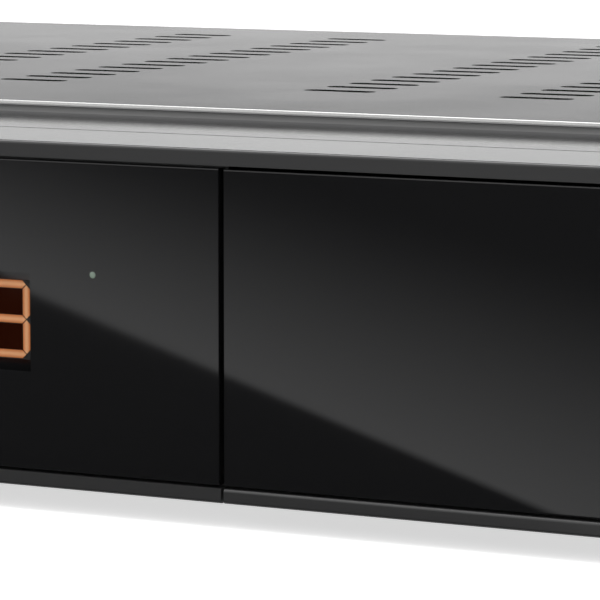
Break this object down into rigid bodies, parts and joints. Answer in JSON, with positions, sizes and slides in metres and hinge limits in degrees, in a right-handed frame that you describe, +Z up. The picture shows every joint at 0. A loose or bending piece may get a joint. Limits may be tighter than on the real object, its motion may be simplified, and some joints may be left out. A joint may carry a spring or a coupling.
{
  "type": "satellite television receiver",
  "caption": "Low set-top receiver box: vented sheet-steel cover, glossy fascia with a lit numeral display, drop-down flap over card slots and keys, rear sockets.",
  "frame": {"origin": "on the table, under the middle of the whole body", "axes": "+X to the right seen from the front, +Y to the rear, +Z up"},
  "size_m": [0.33, 0.273, 0.062],
  "materials": {
    "painted_black": "fine semi-gloss black powder coat",
    "bezel_black": "satin black moulding with a polished top land",
    "smoked_gloss": "smoked high-gloss acrylic",
    "galvanised": "galvanised sheet",
    "bright_metal": "nickel plate",
    "zinc_screw": "zinc plated",
    "black_screw": "black oxide",
    "rubber": "matt",
    "black_plastic": "fine texture",
    "key_grey": "satin",
    "board_green": "solder resist",
    "chip_black": "moulded epoxy",
    "white_plastic": "satin",
    "insert_colours": "one insert yellow, one white, one red",
    "aluminium_fins": "extruded",
    "lead_grey": "flexible",
    "copper_coil": "lacquered winding and core",
    "lit_orange": "lit display bars",
    "lamp_clear": "clear lamp",
    "magnet": "nickel plated"
  },
  "bodies": {
    "case": {"aerial_connectors": "bright_metal", "aerial_insulators": "white_plastic", "board_capacitors": "black_plastic", "board_chips": "chip_black", "board_standoffs": "zinc_screw", "case_screws": "black_screw", "catch_stud": "magnet", "chassis_tray": "galvanised", "display_board": "board_green", "display_module": "black_plastic", "display_segments": "lit_orange", "display_window": "smoked_gloss", "front_bezel": "bezel_black", "front_board_screws": "zinc_screw", "heat_sink": "aluminium_fins", "hinge_pins": "bright_metal", "infrared_receiver": "chip_black", "key_board": "board_green", "key_panel": "black_plastic", "lead_headers": "white_plastic", "main_board": "board_green", "mains_filter": "copper_coil", "mains_inlet": "black_plastic", "mains_inlet_pins": "bright_metal", "mains_switch_body": "black_plastic", "module_cage": "galvanised", "module_pin_blocks": "black_plastic", "network_socket": "black_plastic", "optical_socket": "black_plastic", "pan_head_screws": "zinc_screw", "phono_barrels": "bright_metal", "phono_block": "black_plastic", "phono_inserts": "insert_colours", "power_board": "board_green", "power_heat_sink": "aluminium_fins", "power_leads": "lead_grey", "power_transformer": "copper_coil", "rear_panel": "painted_black", "ribbon_leads": "lead_grey", "rubber_feet": "rubber", "serial_port": "bright_metal", "serial_posts": "bright_metal", "slot_panel": "black_plastic", "smart_card_reader": "black_plastic", "standby_led": "lamp_clear", "tact_switches": "chip_black", "top_cover": "painted_black", "tuner_can": "galvanised", "usb_sockets": "bright_metal", "video_socket": "bright_metal"},
    "flap": {"flap_frame": "bezel_black", "flap_panel": "smoked_gloss", "flap_magnet": "magnet"},
    "standby_key": {"standby_key": "key_grey"},
    "key_up": {"key_up": "key_grey"},
    "key_down": {"key_down": "key_grey"},
    "key_left": {"key_left": "key_grey"},
    "key_right": {"key_right": "key_grey"},
    "key_ok": {"key_ok": "key_grey"},
    "rocker": {"mains_rocker": "black_plastic"}
  },
  "joints": [
    {"name": "flap_hinge", "type": "hinge", "parent": "case", "child": "flap", "pos_m": [0.10925, -0.1323, 0.0082], "axis": [1, 0, 0], "range_deg": [0, 90]},
    {"name": "standby_key_press", "type": "slide", "parent": "case", "child": "standby_key", "axis": [0, 1, 0], "range_m": [0, 0.0005], "stiffness_N_per_m": 1200, "springref_m": -0.0004},
    {"name": "key_up_press", "type": "slide", "parent": "case", "child": "key_up", "axis": [0, 1, 0], "range_m": [0, 0.0005], "stiffness_N_per_m": 1200, "springref_m": -0.0004},
    {"name": "key_down_press", "type": "slide", "parent": "case", "child": "key_down", "axis": [0, 1, 0], "range_m": [0, 0.0005], "stiffness_N_per_m": 1200, "springref_m": -0.0004},
    {"name": "key_left_press", "type": "slide", "parent": "case", "child": "key_left", "axis": [0, 1, 0], "range_m": [0, 0.0005], "stiffness_N_per_m": 1200, "springref_m": -0.0004},
    {"name": "key_right_press", "type": "slide", "parent": "case", "child": "key_right", "axis": [0, 1, 0], "range_m": [0, 0.0005], "stiffness_N_per_m": 1200, "springref_m": -0.0004},
    {"name": "key_ok_press", "type": "slide", "parent": "case", "child": "key_ok", "axis": [0, 1, 0], "range_m": [0, 0.0005], "stiffness_N_per_m": 1200, "springref_m": -0.0004},
    {"name": "rocker_tilt", "type": "hinge", "parent": "case", "child": "rocker", "pos_m": [-0.113, 0.1207, 0.026], "axis": [0, 0, 1], "range_deg": [0, 20]}
  ]
}
